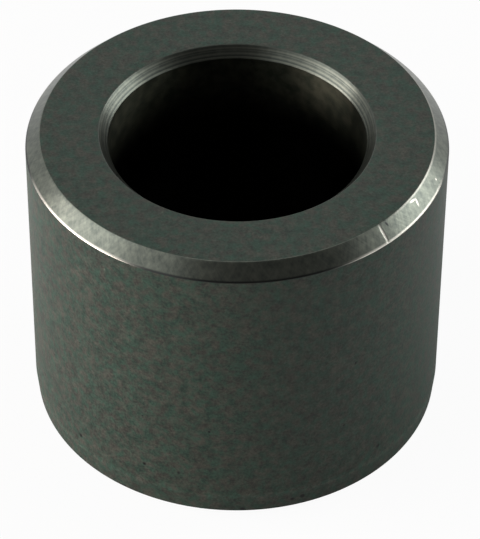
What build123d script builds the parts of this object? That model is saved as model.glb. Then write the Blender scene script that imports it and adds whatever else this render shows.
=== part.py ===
"""Spacer sleeve: one turned piece, standing on its lower end, +Z along the axis of the bore.

The sleeve is one solid, turned about Z from a single section. Going round that section:
the flat lower end, a small chamfer, a shallow lead-in that runs out into the straight wall,
the wall, the outer chamfer of the upper end, the flat upper end, and the through bore with
a bevel at each mouth.
"""
from build123d import *
import os

os.makedirs("parts", exist_ok=True)

# Driving dimensions, mm
outer_diameter = 20.0
bore_diameter = 12.2
length = 16.0
top_chamfer = 0.7              # outer edge of the upper end, 45 degrees
bottom_chamfer = 0.5           # outer edge of the lower end, 45 degrees
lead_in_drop = 0.1             # how far the lead-in falls inside the wall, on the radius
lead_in_length = 1.05          # along the axis, above the lower chamfer
bore_bevel_width = 0.45        # on the radius, both mouths of the bore
bore_bevel_depth = 0.55        # along the axis, both mouths of the bore

# What follows from them
outer_radius = outer_diameter / 2
bore_radius = bore_diameter / 2
lead_in_radius = outer_radius - lead_in_drop
mouth_radius = bore_radius + bore_bevel_width


def outer_corners():
    """The outside of the section from the lower end to the upper end, as (radius, height)."""
    return [
        (lead_in_radius - bottom_chamfer, 0),
        (lead_in_radius, bottom_chamfer),
        (outer_radius, bottom_chamfer + lead_in_length),
        (outer_radius, length - top_chamfer),
        (outer_radius - top_chamfer, length),
    ]


def bore_corners():
    """The inside of the section from the upper end back to the lower end."""
    return [
        (mouth_radius, length),
        (bore_radius, length - bore_bevel_depth),
        (bore_radius, bore_bevel_depth),
        (mouth_radius, 0),
    ]


def sleeve():
    """The section turned once round the axis."""
    corners = outer_corners() + bore_corners()
    with BuildPart() as turned:
        with BuildSketch(Plane.XZ):
            with BuildLine():
                Polyline(*corners, close=True)
            make_face()
        revolve(axis=Axis.Z)
    return turned.part


export_step(sleeve(), "parts/sleeve.step")
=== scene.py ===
import math

import bmesh
import bpy
from mathutils import Euler, Matrix, Vector


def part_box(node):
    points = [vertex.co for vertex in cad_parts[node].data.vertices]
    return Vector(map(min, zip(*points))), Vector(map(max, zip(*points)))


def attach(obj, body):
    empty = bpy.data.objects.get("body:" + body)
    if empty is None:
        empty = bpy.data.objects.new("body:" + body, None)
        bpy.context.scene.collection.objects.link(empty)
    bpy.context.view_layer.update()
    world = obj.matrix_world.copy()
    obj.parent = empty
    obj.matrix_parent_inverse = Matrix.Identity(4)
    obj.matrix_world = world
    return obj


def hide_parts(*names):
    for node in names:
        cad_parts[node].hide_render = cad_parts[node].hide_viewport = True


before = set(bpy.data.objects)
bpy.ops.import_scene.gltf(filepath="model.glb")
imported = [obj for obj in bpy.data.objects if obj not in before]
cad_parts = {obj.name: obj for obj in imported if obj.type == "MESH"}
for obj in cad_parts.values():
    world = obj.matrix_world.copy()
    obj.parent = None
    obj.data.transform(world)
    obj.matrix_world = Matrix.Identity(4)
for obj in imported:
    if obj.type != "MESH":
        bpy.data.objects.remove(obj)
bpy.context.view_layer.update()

MM = 0.001
low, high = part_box("sleeve")
LENGTH = high[2] - low[2]
WALL = (high[0] - low[0]) / 2          # radius of the outer wall
BORE = 6.1 * MM                        # radius of the bore
TOP_CHAMFER = 0.7 * MM
FOOT_CHAMFER = 0.5 * MM
LEAD_DROP = 0.1 * MM
LEAD_LENGTH = 1.05 * MM
BEVEL_WIDTH = 0.45 * MM
BEVEL_DEPTH = 0.55 * MM
FOOT = WALL - LEAD_DROP - FOOT_CHAMFER  # radius of the flat end it stands on
FACE_SLACK = 0.02 * MM                  # how far past an edge a face may reach and keep its finish
END_SLACK = 0.002 * MM                  # nearer than this to an end face counts as on it
MATH, VECTOR, RANGE = "ShaderNodeMath", "ShaderNodeVectorMath", "ShaderNodeMapRange"
NOISE, MIX = "ShaderNodeTexNoise", "ShaderNodeMix"


def add(tree, kind, inputs=(), out=0, **settings):
    """Adds a node with its settings, sets or links its sockets, and gives back one output."""
    node = tree.nodes.new(kind)
    for name, value in settings.items():
        setattr(node, name, value)
    for key, value in inputs.items() if isinstance(inputs, dict) else enumerate(inputs):
        if isinstance(value, bpy.types.NodeSocket):
            tree.links.new(value, node.inputs[key])
        else:
            node.inputs[key].default_value = value
    return node.outputs[out] if len(node.outputs) else node


def linear(hex_colour):
    """An sRGB hex colour as linear RGBA."""
    parts = [int(hex_colour[i:i + 2], 16) / 255 for i in (1, 3, 5)]
    return [c / 12.92 if c <= 0.04045 else ((c + 0.055) / 1.055) ** 2.4 for c in parts] + [1.0]


# --- the turned sleeve -----------------------------------------------------------------------

SIZES = {
    "Wall radius": WALL, "Bore radius": BORE, "Length": LENGTH,
    "Top chamfer": TOP_CHAMFER, "Foot chamfer": FOOT_CHAMFER,
    "Lead-in drop": LEAD_DROP, "Lead-in length": LEAD_LENGTH,
    "Bevel width": BEVEL_WIDTH, "Bevel depth": BEVEL_DEPTH,
    "Edge break": 0.08 * MM,           # how far the sharp corners are rounded over
    "Fine step": 0.09 * MM,            # spacing of points on the chamfers and bevels
}
COUNTS = {"Steps round": 900, "Most steps": 8}


def turning_tree():
    """Geometry nodes that draw the section and turn it once round the axis."""
    tree = bpy.data.node_groups.new("turned sleeve", "GeometryNodeTree")
    for names, kind in ((SIZES, "NodeSocketFloat"), (COUNTS, "NodeSocketInt"),
                        (("Skin", "Cut edges", "Bored wall"), "NodeSocketMaterial")):
        for name in names:
            tree.interface.new_socket(name=name, in_out="INPUT", socket_type=kind)
    tree.interface.new_socket(name="Geometry", in_out="OUTPUT", socket_type="NodeSocketGeometry")
    given = add(tree, "NodeGroupInput").node.outputs

    # The corners of the section as (radius, height), from the foot up the outside and down the bore
    lead = add(tree, MATH, (given["Wall radius"], given["Lead-in drop"]), operation="SUBTRACT")
    foot = add(tree, MATH, (lead, given["Foot chamfer"]), operation="SUBTRACT")
    lead_top = add(tree, MATH, (given["Foot chamfer"], given["Lead-in length"]), operation="ADD")
    shoulder = add(tree, MATH, (given["Length"], given["Top chamfer"]), operation="SUBTRACT")
    rim = add(tree, MATH, (given["Wall radius"], given["Top chamfer"]), operation="SUBTRACT")
    mouth = add(tree, MATH, (given["Bore radius"], given["Bevel width"]), operation="ADD")
    throat = add(tree, MATH, (given["Length"], given["Bevel depth"]), operation="SUBTRACT")
    corners = ((foot, 0.0), (lead, given["Foot chamfer"]), (given["Wall radius"], lead_top),
               (given["Wall radius"], shoulder), (rim, given["Length"]), (mouth, given["Length"]),
               (given["Bore radius"], throat), (given["Bore radius"], given["Bevel depth"]),
               (mouth, 0.0))
    index = add(tree, "GeometryNodeInputIndex")
    pick = add(tree, "GeometryNodeIndexSwitch", (index,), data_type="VECTOR")
    while len(pick.node.index_switch_items) < len(corners):
        pick.node.index_switch_items.new()
    for number, (radius, height) in enumerate(corners):
        point = add(tree, "ShaderNodeCombineXYZ", (radius, height))
        tree.links.new(point, pick.node.inputs[str(number)])

    line = add(tree, "GeometryNodeMeshLine", {"Count": len(corners)})
    placed = add(tree, "GeometryNodeSetPosition", {"Geometry": line, "Position": pick})
    curve = add(tree, "GeometryNodeMeshToCurve", (placed,))
    closed = add(tree, "GeometryNodeSetSplineCyclic", {"Geometry": curve, "Cyclic": True})
    eased = add(tree, "GeometryNodeFilletCurve",
                {"Curve": closed, "Radius": given["Edge break"], "Count": 3, "Limit Radius": True},
                mode="POLY")

    # Each run between two points is cut up finely, and the long plain ones coarsely
    place = add(tree, "GeometryNodeInputPosition")
    count = add(tree, "GeometryNodeAttributeDomainSize", {"Geometry": eased}, "Point Count",
                component="CURVE")
    next_one = add(tree, MATH, (index, 1.0), operation="ADD")
    onward = add(tree, MATH, (next_one, count), operation="MODULO")
    neighbour = add(tree, "GeometryNodeFieldAtIndex", {"Index": onward, "Value": place},
                    data_type="FLOAT_VECTOR", domain="POINT")
    gap = add(tree, VECTOR, (place, neighbour), "Value", operation="DISTANCE")
    wanted_cuts = add(tree, MATH, (gap, given["Fine step"]), operation="DIVIDE")
    cuts = add(tree, MATH, (wanted_cuts, given["Most steps"]), operation="MINIMUM")
    divided = add(tree, "GeometryNodeSubdivideCurve", {"Curve": eased, "Cuts": cuts})

    # One vertex for each point of the section at each step round the axis
    rows = add(tree, "GeometryNodeAttributeDomainSize", {"Geometry": divided}, "Point Count",
               component="CURVE")
    columns = add(tree, MATH, (given["Steps round"], 1.0), operation="ADD")
    column_length = add(tree, MATH, (rows, 1.0), operation="ADD")
    grid = add(tree, "GeometryNodeMeshGrid",
               {"Vertices X": columns, "Vertices Y": column_length}, "Mesh")
    middle = add(tree, MATH, (index, 0.5), operation="ADD")
    passed = add(tree, MATH, (middle, column_length), operation="DIVIDE")
    step = add(tree, MATH, (passed,), operation="FLOOR")
    started = add(tree, MATH, (step, column_length), operation="MULTIPLY")
    left_over = add(tree, MATH, (index, started), operation="SUBTRACT")
    whole = add(tree, MATH, (left_over,), operation="ROUND")
    row = add(tree, MATH, (whole, rows), operation="MODULO")
    sample = add(tree, "GeometryNodeSampleIndex",
                 {"Geometry": divided, "Value": place, "Index": row},
                 data_type="FLOAT_VECTOR", domain="POINT")
    spot = add(tree, "ShaderNodeSeparateXYZ", (sample,)).node.outputs
    share = add(tree, MATH, (step, given["Steps round"]), operation="DIVIDE")
    turn = add(tree, MATH, (share, 2 * math.pi), operation="MULTIPLY")
    frontward = add(tree, MATH, (spot["X"], -1.0), operation="MULTIPLY")
    upright = add(tree, "ShaderNodeCombineXYZ", {"Y": frontward, "Z": spot["Y"]})
    ring = add(tree, "ShaderNodeVectorRotate", {"Vector": upright, "Angle": turn},
               rotation_type="Z_AXIS")
    turned = add(tree, "GeometryNodeSetPosition", {"Geometry": grid, "Position": ring})
    welded = add(tree, "GeometryNodeMergeByDistance", {"Geometry": turned, "Distance": 0.0005 * MM})
    real = add(tree, "GeometryNodeRealizeInstances", (welded,))
    shape = add(tree, "GeometryNodeSetShadeSmooth", {"Geometry": real, "Shade Smooth": True})

    # Three finishes: the skin, the chamfer and bevels where it is rubbed off, and the bore wall
    level = add(tree, VECTOR, (place, (1, 1, 0)), operation="MULTIPLY")
    radius = add(tree, VECTOR, (level,), "Value", operation="LENGTH")
    height = add(tree, "ShaderNodeSeparateXYZ", (place,), "Z")
    half = add(tree, MATH, (given["Length"], 0.5), operation="MULTIPLY")
    from_middle = add(tree, MATH, (height, half), operation="SUBTRACT")
    off_middle = add(tree, MATH, (from_middle,), operation="ABSOLUTE")
    from_end = add(tree, MATH, (half, off_middle), operation="SUBTRACT")
    mouth_wide = add(tree, MATH, (mouth, FACE_SLACK), operation="ADD")
    near_axis = add(tree, MATH, (radius, mouth_wide), operation="LESS_THAN")
    off_end = add(tree, MATH, (from_end, END_SLACK), operation="GREATER_THAN")
    inside = add(tree, MATH, (near_axis, off_end), operation="MULTIPLY")
    bevel_end = add(tree, MATH, (given["Bevel depth"], FACE_SLACK), operation="ADD")
    past_bevel = add(tree, MATH, (from_end, bevel_end), operation="GREATER_THAN")
    deep = add(tree, MATH, (inside, past_bevel), operation="MULTIPLY")
    inward = add(tree, MATH, (given["Wall radius"], radius), operation="SUBTRACT")
    downward = add(tree, MATH, (given["Length"], height), operation="SUBTRACT")
    corner_cut = add(tree, MATH, (inward, downward), operation="ADD")
    slope_limit = add(tree, MATH, (given["Top chamfer"], FACE_SLACK), operation="ADD")
    on_slope = add(tree, MATH, (corner_cut, slope_limit), operation="LESS_THAN")
    cut = add(tree, MATH, (inside, on_slope), operation="MAXIMUM")
    for chosen, name in ((True, "Skin"), (cut, "Cut edges"), (deep, "Bored wall")):
        shape = add(tree, "GeometryNodeSetMaterial",
                    {"Geometry": shape, "Selection": chosen, "Material": given[name]})
    add(tree, "NodeGroupOutput", {"Geometry": shape})
    return tree


# --- small marks -----------------------------------------------------------------------------

class Mark:
    """A small mark on the surface: where it lies, how it is turned, and its size in mm."""

    THROUGH = 0.25                     # how far either side of the surface it reaches

    def __init__(self, azimuth, radius, height, tilt, turn, length, width):
        a = math.radians(azimuth)
        self.place = Vector((math.sin(a) * radius, -math.cos(a) * radius, height)) * MM
        # X points out of the surface, Z up its slope, and the turn is made in the surface
        self.lie = Euler((math.radians(turn), math.radians(-tilt), a - math.pi / 2))
        self.reach = Vector((self.THROUGH, width / 2, length / 2)) * MM

    def nearness(self, tree, place):
        """1 at the middle of the mark, falling to 0 at its rim."""
        own = add(tree, "ShaderNodeMapping",
                  {"Vector": place, "Location": self.place, "Rotation": self.lie,
                   "Scale": self.reach},
                  vector_type="TEXTURE")
        far = add(tree, VECTOR, (own,), "Value", operation="LENGTH")
        return add(tree, RANGE, (far, 1.2, 0.5, 0.0, 1.0), interpolation_type="SMOOTHSTEP")


def on_chamfer(azimuth, up, turn, length, width):
    """A mark on the upper chamfer, with how far up its slope it lies from 0 to 1."""
    radius = (WALL - TOP_CHAMFER * up) / MM
    height = (LENGTH - TOP_CHAMFER * (1 - up)) / MM
    return Mark(azimuth, radius, height, 45, turn, length, width)


NICK = on_chamfer(44, 0.5, 0, 1.0, 0.15)
NICK_DEPTH = 0.010 * MM
# To the right of the nick, a hooked rub of two strokes and a speck, and a dark fleck close by
HOOK = (on_chamfer(59, 0.8, 80, 0.50, 0.13), on_chamfer(60, 0.6, -20, 0.45, 0.13))
SPECK = on_chamfer(72, 0.4, 0, 0.14, 0.12)
BRIGHT_MARKS = (NICK, *HOOK, SPECK)
FLECK = on_chamfer(46.5, 0.8, 15, 0.26, 0.13)
# The one pit that stands alone, just over half way up the wall
LONE_PIT = Mark(34, WALL / MM, 0.55 * LENGTH / MM, 0, 0, 0.22, 0.12)


def strongest(tree, marks, place):
    """The nearness to whichever mark is nearest."""
    found = marks[0].nearness(tree, place)
    for mark in marks[1:]:
        found = add(tree, MATH, (found, mark.nearness(tree, place)), operation="MAXIMUM")
    return found


def turned_sleeve(finishes):
    """The sleeve as one plain closed mesh, with a finish for each of its surfaces."""
    holder = bpy.data.objects.new("turning", bpy.data.meshes.new("turning"))
    bpy.context.scene.collection.objects.link(holder)
    modifier = holder.modifiers.new("turning", "NODES")
    modifier.node_group = turning_tree()
    wanted = {**SIZES, **COUNTS, **finishes}
    for item in modifier.node_group.interface.items_tree:
        if item.in_out == "INPUT":
            modifier[item.identifier] = wanted[item.name]
    bpy.context.view_layer.update()
    view = bpy.context.evaluated_depsgraph_get()
    mesh = bpy.data.meshes.new_from_object(holder.evaluated_get(view), depsgraph=view)
    bpy.data.objects.remove(holder)
    shape = bmesh.new()
    shape.from_mesh(mesh)
    bmesh.ops.recalc_face_normals(shape, faces=shape.faces)
    # The nick in the chamfer is a real groove, pressed in along the surface's normal
    out_of_face = NICK.lie.to_matrix() @ Vector((1, 0, 0))
    to_nick = NICK.lie.to_matrix().inverted()
    for point in shape.verts:
        own = to_nick @ (point.co - NICK.place)
        across, along = abs(own.y) / NICK.reach.y, abs(own.z) / NICK.reach.z
        if abs(own.x) < NICK.reach.x and across < 0.9 and along < 1.1:
            point.co -= out_of_face * NICK_DEPTH * (1 - across)
    open_edges = sum(not edge.is_manifold for edge in shape.edges)
    print("sleeve mesh:", len(shape.verts), "points,", len(shape.faces), "faces,",
          open_edges, "open edges, volume mm3", round(shape.calc_volume() * 1e9, 1))
    shape.to_mesh(mesh)
    shape.free()
    sleeve = bpy.data.objects.new("spacer_sleeve", mesh)
    bpy.context.scene.collection.objects.link(sleeve)
    return sleeve


# --- finish ----------------------------------------------------------------------------------

def finish(name):
    """A new material, with the place on the sleeve and the height that its patterns follow."""
    material = bpy.data.materials.new(name)
    material.use_nodes = True
    tree = material.node_tree
    tree.nodes.clear()
    place = add(tree, "ShaderNodeTexCoord", out="Object")
    height = add(tree, "ShaderNodeSeparateXYZ", (place,), "Z")
    return material, tree, place, height


def blackened_skin():
    """Steel blackened in a hot salt bath: a dark, faintly green oxide skin with a matt grain."""
    material, tree, place, height = finish("blackened_steel")
    # The oxide's own grain is some hundredths of a millimetre, drawn coarse enough to show
    grain = add(tree, NOISE,
                {"Vector": place, "Scale": 1 / (0.13 * MM), "Detail": 2.0, "Roughness": 0.7})
    mottle = add(tree, NOISE,
                 {"Vector": place, "Scale": 1 / (0.50 * MM), "Detail": 3.0, "Roughness": 0.6})
    tint = add(tree, NOISE, {"Vector": place, "Scale": 1 / (0.38 * MM), "Detail": 2.0}, "Color")
    green = add(tree, "ShaderNodeSeparateXYZ", (tint,), "Y")
    tinted = add(tree, MIX,
                 {"Factor": add(tree, RANGE, (green, 0.36, 0.64, 0.0, 1.0)),
                  6: linear("#2b4036"), 7: linear("#3d3f38")}, 2, data_type="RGBA")
    both = add(tree, MATH, (grain, mottle), operation="ADD")
    shade = add(tree, RANGE, (both, 0.72, 1.28, 0.46, 1.46))
    # The corner of the lead-in is drawn a little lighter all round
    off_corner = add(tree, MATH, (height, FOOT_CHAMFER + LEAD_LENGTH), operation="SUBTRACT")
    apart = add(tree, MATH, (off_corner,), operation="ABSOLUTE")
    rubbed = add(tree, RANGE, (apart, 0.28 * MM, 0.0, 1.0, 1.35),
                 interpolation_type="SMOOTHSTEP")
    # Pits up to 0.2 mm across, larger and more frequent towards the foot, and rarer light specks
    to_pit = add(tree, "ShaderNodeTexVoronoi", {"Vector": place, "Scale": 1 / (1.2 * MM)},
                 "Distance")
    pit_reach = add(tree, RANGE, (height, 0.0, 0.5 * LENGTH, 0.15, 0.035))
    pit_share = add(tree, MATH, (to_pit, pit_reach), operation="DIVIDE")
    scattered = add(tree, RANGE, (pit_share, 0.5, 1.0, 0.05, 1.0))
    alone = add(tree, RANGE, (LONE_PIT.nearness(tree, place), 0.0, 1.0, 1.0, 0.05))
    pitted = add(tree, MATH, (scattered, alone), operation="MULTIPLY")
    to_speck = add(tree, "ShaderNodeTexVoronoi", {"Vector": place, "Scale": 1 / (1.9 * MM)},
                   "Distance")
    specked = add(tree, RANGE, (to_speck, 0.02, 0.035, 1.9, 1.0))
    for factor in (rubbed, pitted, specked):
        shade = add(tree, MATH, (shade, factor), operation="MULTIPLY")
    colour = add(tree, VECTOR, {0: tinted, "Scale": shade}, operation="SCALE")
    rough = add(tree, RANGE, (mottle, 0.3, 0.7, 0.44, 0.56))
    relief = add(tree, MATH, (grain, pitted), operation="ADD")
    bump = add(tree, "ShaderNodeBump", {"Height": relief, "Distance": 0.006 * MM, "Strength": 1.0})
    shader = add(tree, "ShaderNodeBsdfPrincipled",
                 {"Base Color": colour, "Roughness": rough, "Normal": bump,
                  "Specular IOR Level": 0.25})
    add(tree, "ShaderNodeOutputMaterial", (shader,))
    return material


def rubbed_edges():
    """The chamfer and bevels, turned last: thin blacking rubbed through to bright steel, with
    painted highlights and painted shade along the chamfer's corners.
    """
    material, tree, place, height = finish("rubbed_bright_steel")
    level = add(tree, VECTOR, (place, (1, 1, 0)), operation="MULTIPLY")
    radius = add(tree, VECTOR, (level,), "Value", operation="LENGTH")
    outward = add(tree, VECTOR, (level,), operation="NORMALIZE")
    slope = add(tree, MATH, (height, radius), operation="SUBTRACT")
    ring = add(tree, VECTOR, {0: outward, "Scale": WALL}, operation="SCALE")
    # Fine scratches cross the chamfer at two slants
    scratches = []
    for slant, width in ((0.050 / MM, 0.13 * MM), (-0.035 / MM, 0.16 * MM)):
        twist = add(tree, MATH, (slope, slant), operation="MULTIPLY")
        swirl = add(tree, "ShaderNodeVectorRotate", {"Vector": ring, "Angle": twist},
                    rotation_type="Z_AXIS")
        slow = add(tree, MATH, (slope, 0.15), operation="MULTIPLY")
        rise = add(tree, "ShaderNodeCombineXYZ", {"Z": slow})
        lay = add(tree, VECTOR, (swirl, rise), operation="ADD")
        scratches.append(add(tree, NOISE,
                             {"Vector": lay, "Scale": 1 / width, "Detail": 2.0, "Roughness": 0.6}))
    crossed = add(tree, MATH, scratches, operation="ADD")
    scratch = add(tree, MATH, (crossed, 0.5), operation="MULTIPLY")
    # Turning lines run round the bevels; really 0.05 to 0.1 mm apart, drawn a little coarser
    fall = add(tree, MATH, (height, radius), operation="ADD")
    line_count = add(tree, MATH, (fall, 1 / (0.13 * MM)), operation="MULTIPLY")
    lines = add(tree, NOISE, {"W": line_count, "Scale": 1.0, "Detail": 1.0}, noise_dimensions="1D")
    outer = add(tree, RANGE, (radius, 7.0 * MM, 8.5 * MM, 0.0, 1.0))
    lay_of_cut = add(tree, MIX, {0: outer, 2: lines, 3: scratch}, data_type="FLOAT")
    rub = add(tree, NOISE,
              {"Vector": place, "Scale": 1 / (0.35 * MM), "Detail": 3.0, "Roughness": 0.6})
    rub_share = add(tree, RANGE, (outer, 0.0, 1.0, 0.35, 0.5))
    worn = add(tree, MIX, {0: rub_share, 2: lay_of_cut, 3: rub}, data_type="FLOAT")
    bare = add(tree, RANGE, (worn, 0.34, 0.66, 0.0, 1.0))
    # Painted highlight and painted shade on the lower corner: it is drawn bright only at the two
    # sides, where the lamps' highlights fall, and dark elsewhere
    rightward = add(tree, "ShaderNodeSeparateXYZ", (outward,), "X")
    sideways = add(tree, MATH, (rightward,), operation="ABSOLUTE")
    begun = add(tree, RANGE, (sideways, 0.38, 0.62, 0.0, 1.0), interpolation_type="SMOOTHSTEP")
    ended = add(tree, RANGE, (sideways, 0.985, 0.93, 0.0, 1.0), interpolation_type="SMOOTHSTEP")
    side = add(tree, MATH, (begun, ended), operation="MULTIPLY")
    corner = add(tree, RANGE, (radius, WALL - 0.09 * MM, WALL - 0.04 * MM, 0.0, 1.0))
    painted_corner_highlight = add(tree, MATH, (corner, side), operation="MULTIPLY")
    painted_corner_shade = add(tree, MATH, (corner, painted_corner_highlight), operation="SUBTRACT")
    # Painted highlight: a fainter light line along the upper corner on the right, the side of the
    # right lamp
    rim = WALL - TOP_CHAMFER
    right = add(tree, RANGE, (rightward, 0.72, 0.88, 0.0, 0.5), interpolation_type="SMOOTHSTEP")
    upper = add(tree, RANGE, (radius, rim + 0.09 * MM, rim + 0.04 * MM, 0.0, 1.0))
    upper = add(tree, MATH, (upper, outer), operation="MULTIPLY")
    painted_upper_highlight = add(tree, MATH, (upper, right), operation="MULTIPLY")
    # The painted highlights of both corners
    corners = add(tree, MATH, (painted_corner_highlight, painted_upper_highlight), operation="MAXIMUM")
    marked = strongest(tree, BRIGHT_MARKS, place)
    # The painted corner highlights and the real bright marks take the same bright colour
    bright = add(tree, MATH, (corners, marked), operation="MAXIMUM")
    colour = add(tree, MIX, {"Factor": bare, 6: linear("#454a46"), 7: linear("#676b62")}, 2,
                 data_type="RGBA")
    colour = add(tree, MIX, {"Factor": bright, 6: colour, 7: linear("#9c9a92")}, 2,
                 data_type="RGBA")
    # The bevels keep a little more of their blacking than the chamfer
    kept = add(tree, RANGE, (outer, 0.0, 1.0, 0.74, 1.0))
    colour = add(tree, VECTOR, {0: colour, "Scale": kept}, operation="SCALE")
    # Painted shade on the lower corner where it is not painted bright, together with the real dark
    # fleck
    corner_shade_and_fleck = add(tree, MATH, (painted_corner_shade, FLECK.nearness(tree, place)), operation="MAXIMUM")
    colour = add(tree, MIX, {"Factor": corner_shade_and_fleck, 6: colour, 7: linear("#363837")}, 2,
                 data_type="RGBA")
    rough = add(tree, RANGE, (scratch, 0.3, 0.7, 0.34, 0.29))
    dented = add(tree, MATH, (marked, -0.7), operation="MULTIPLY")
    relief = add(tree, MATH, (lay_of_cut, dented), operation="ADD")
    bump = add(tree, "ShaderNodeBump", {"Height": relief, "Distance": 0.004 * MM, "Strength": 1.0})
    shader = add(tree, "ShaderNodeBsdfPrincipled",
                 {"Base Color": colour, "Roughness": rough, "Normal": bump,
                  "Metallic": 1.0, "Anisotropic": 0.35, "Anisotropic Rotation": 0.25})
    add(tree, "ShaderNodeOutputMaterial", (shader,))
    return material


def bored_wall():
    """The bore, reamed and blackened, with a sheen across its fine round lines; painted shade makes
    it near black away from its ends.
    """
    material, tree, place, height = finish("bored_black_steel")
    patch = add(tree, NOISE, {"Vector": place, "Scale": 1 / (0.6 * MM), "Detail": 3.0})
    line_count = add(tree, MATH, (height, 1 / (0.09 * MM)), operation="MULTIPLY")
    lines = add(tree, NOISE, {"W": line_count, "Scale": 1.0, "Detail": 1.0}, noise_dimensions="1D")
    tinted = add(tree, MIX,
                 {"Factor": add(tree, RANGE, (patch, 0.35, 0.65, 0.0, 1.0)),
                  6: linear("#2f332b"), 7: linear("#46473c")}, 2, data_type="RGBA")
    # Painted shade: the bore is drawn darker away from its two ends, down to near black in the
    # middle
    half = LENGTH / 2
    from_middle = add(tree, MATH, (height, half), operation="SUBTRACT")
    off_middle = add(tree, MATH, (from_middle,), operation="ABSOLUTE")
    shade = add(tree, RANGE, (off_middle, half - 4.2 * MM, half - 0.9 * MM, 0.02, 1.0),
                interpolation_type="SMOOTHSTEP")
    colour = add(tree, VECTOR, {0: tinted, "Scale": shade}, operation="SCALE")
    relief = add(tree, MATH, (lines, patch), operation="ADD")
    bump = add(tree, "ShaderNodeBump", {"Height": relief, "Distance": 0.003 * MM, "Strength": 1.0})
    shader = add(tree, "ShaderNodeBsdfPrincipled",
                 {"Base Color": colour, "Normal": bump, "Roughness": 0.36,
                  "Metallic": 1.0, "Anisotropic": 0.9, "Anisotropic Rotation": 0.25})
    add(tree, "ShaderNodeOutputMaterial", (shader,))
    return material


sleeve = turned_sleeve({"Skin": blackened_skin(), "Cut edges": rubbed_edges(),
                        "Bored wall": bored_wall()})
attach(sleeve, "root")
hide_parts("sleeve")


# --- floor, light and camera -----------------------------------------------------------------

def seen_directly(tree):
    """1 where the camera, or a mirror or clear surface, looks straight at the surroundings."""
    path = add(tree, "ShaderNodeLightPath").node.outputs
    mirrored = add(tree, MATH, (path["Is Glossy Ray"], path["Is Transmission Ray"]),
                   operation="MAXIMUM")
    return add(tree, MATH, (path["Is Camera Ray"], mirrored), operation="MAXIMUM")


SQUARE = ((-1, -1), (1, -1), (1, 1), (-1, 1))    # corners of a sheet, in half widths


def stage_sheet(name, corners, material):
    """A flat four-cornered sheet of the set, not of the object."""
    mesh = bpy.data.meshes.new(name)
    mesh.from_pydata(corners, [], [(0, 1, 2, 3)])
    mesh.materials.append(material)
    sheet = bpy.data.objects.new(name, mesh)
    bpy.context.scene.collection.objects.link(sheet)
    return sheet


def floor():
    """A wide sheet of white paper under the sleeve, which keeps its soft shadow."""
    material = bpy.data.materials.new("white_paper")
    material.use_nodes = True
    tree = material.node_tree
    tree.nodes.clear()
    matt = add(tree, "ShaderNodeBsdfDiffuse", {"Color": linear("#f6f6f5")})
    glow = add(tree, "ShaderNodeEmission", {"Color": (1, 1, 1, 1), "Strength": 1.0})
    # Painted shade: the paper's glow fades towards the foot of the sleeve, so the paper darkens
    # there, and it is dark under it
    spot = add(tree, "ShaderNodeTexCoord", out="Object")
    away = add(tree, VECTOR, (spot,), "Value", operation="LENGTH")
    clear = add(tree, RANGE, (away, WALL, 4 * WALL, 0.0, 0.95))
    open_floor = add(tree, MATH, (away, FOOT - 0.1 * MM), operation="GREATER_THAN")
    camera_ray = add(tree, "ShaderNodeLightPath", out="Is Camera Ray")
    shown = add(tree, MATH, (camera_ray, open_floor), operation="MULTIPLY")
    shown_white = add(tree, MATH, (shown, 0.95), operation="MULTIPLY")
    share = add(tree, MATH, (clear, shown_white), operation="MAXIMUM")
    paper = add(tree, "ShaderNodeMixShader", (share, matt, glow))
    bounce = add(tree, "ShaderNodeBsdfDiffuse", {"Color": linear("#a0a09e")})
    both = add(tree, "ShaderNodeMixShader", (seen_directly(tree), bounce, paper))
    add(tree, "ShaderNodeOutputMaterial", (both,))
    half = 0.5                         # the sheet is 1 m square
    stage_sheet("floor", [(x * half, y * half, 0) for x, y in SQUARE], material)


def set_place(azimuth, elevation, distance):
    """Where a card or lamp stands, facing the sleeve: azimuth 0 is the front and 90 the right."""
    a, e = math.radians(azimuth), math.radians(elevation)
    outward = Vector((math.sin(a) * math.cos(e), -math.cos(a) * math.cos(e), math.sin(e)))
    middle = Vector((0, 0, LENGTH / 2))
    facing = outward.to_track_quat("Z", "Y").to_matrix().to_4x4()
    return Matrix.Translation(middle + outward * distance) @ facing


def grey_card(azimuth, elevation, distance, width, height):
    """A dark grey card over the front of the set, seen only as a dark reflection."""
    material = bpy.data.materials.new("grey_card")
    material.use_nodes = True
    tree = material.node_tree
    tree.nodes.clear()
    grey = add(tree, "ShaderNodeBsdfDiffuse", {"Color": linear("#707070")})
    add(tree, "ShaderNodeOutputMaterial", (grey,))
    place = set_place(azimuth, elevation, distance)
    corners = [place @ Vector((x * width / 2, y * height / 2, 0)) for x, y in SQUARE]
    card = stage_sheet("grey_card", corners, material)
    card.visible_camera = False
    card.visible_diffuse = False
    card.visible_shadow = False


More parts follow.
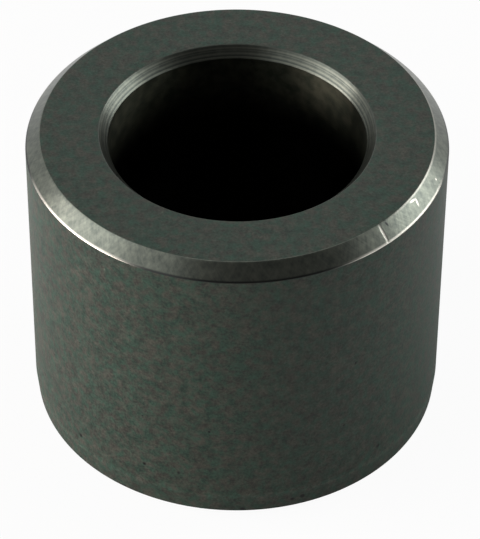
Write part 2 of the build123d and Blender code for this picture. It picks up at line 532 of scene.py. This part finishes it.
def softbox(name, azimuth, elevation, distance, width, height, radiance, colour="#ffffff"):
    """A rectangular studio lamp that faces the sleeve."""
    lamp = bpy.data.lights.new(name, "AREA")
    lamp.shape = "RECTANGLE"
    lamp.size, lamp.size_y = width, height
    lamp.energy = radiance * math.pi * width * height
    lamp.color = linear(colour)[:3]
    box = bpy.data.objects.new(name, lamp)
    bpy.context.scene.collection.objects.link(box)
    box.matrix_world = set_place(azimuth, elevation, distance)
    box.visible_camera = False


def surroundings():
    """Plain white room: white where it is seen, an even low light elsewhere."""
    world = bpy.data.worlds.new("studio")
    world.use_nodes = True
    tree = world.node_tree
    tree.nodes.clear()
    even = add(tree, "ShaderNodeBackground", {"Color": (1, 1, 1, 1), "Strength": 0.15})
    white = add(tree, "ShaderNodeBackground", {"Color": (1, 1, 1, 1), "Strength": 1.0})
    both = add(tree, "ShaderNodeMixShader", (seen_directly(tree), even, white))
    add(tree, "ShaderNodeOutputWorld", (both,))
    bpy.context.scene.world = world


def camera():
    """Looks down on the sleeve from the front, a little over its shoulder."""
    lens = bpy.data.cameras.new("camera")
    lens.sensor_width = 36.0
    lens.lens = 216.5
    lens.clip_start, lens.clip_end = 0.01, 10.0
    eye = bpy.data.objects.new("camera", lens)
    bpy.context.scene.collection.objects.link(eye)
    tilt, roll, distance = math.radians(42.0), math.radians(0.4), 158.5 * MM
    aim = Vector((0.17 * MM, 0, 7.15 * MM))
    eye.matrix_world = (Matrix.Translation(aim) @ Matrix.Rotation(math.pi / 2 - tilt, 4, "X")
                        @ Matrix.Rotation(roll, 4, "Z") @ Matrix.Translation((0, 0, distance)))
    bpy.context.scene.camera = eye


floor()
surroundings()
softbox("left softbox", azimuth=-87, elevation=32, distance=0.40, width=0.22, height=0.30,
        radiance=2.2)
softbox("left fill", azimuth=-74, elevation=42, distance=0.45, width=0.40, height=0.40,
        radiance=0.2)
softbox("low left fill", azimuth=-78, elevation=5, distance=0.45, width=0.40, height=0.20,
        radiance=15.0, colour="#fff0ec")
softbox("right softbox", azimuth=107, elevation=20, distance=0.40, width=0.25, height=0.16,
        radiance=4.9)
softbox("low right fill", azimuth=68, elevation=6, distance=0.45, width=0.30, height=0.16,
        radiance=2.2)
grey_card(azimuth=21.5, elevation=30, distance=0.50, width=0.82, height=0.78)
camera()
bpy.context.scene.view_settings.view_transform = "Standard"
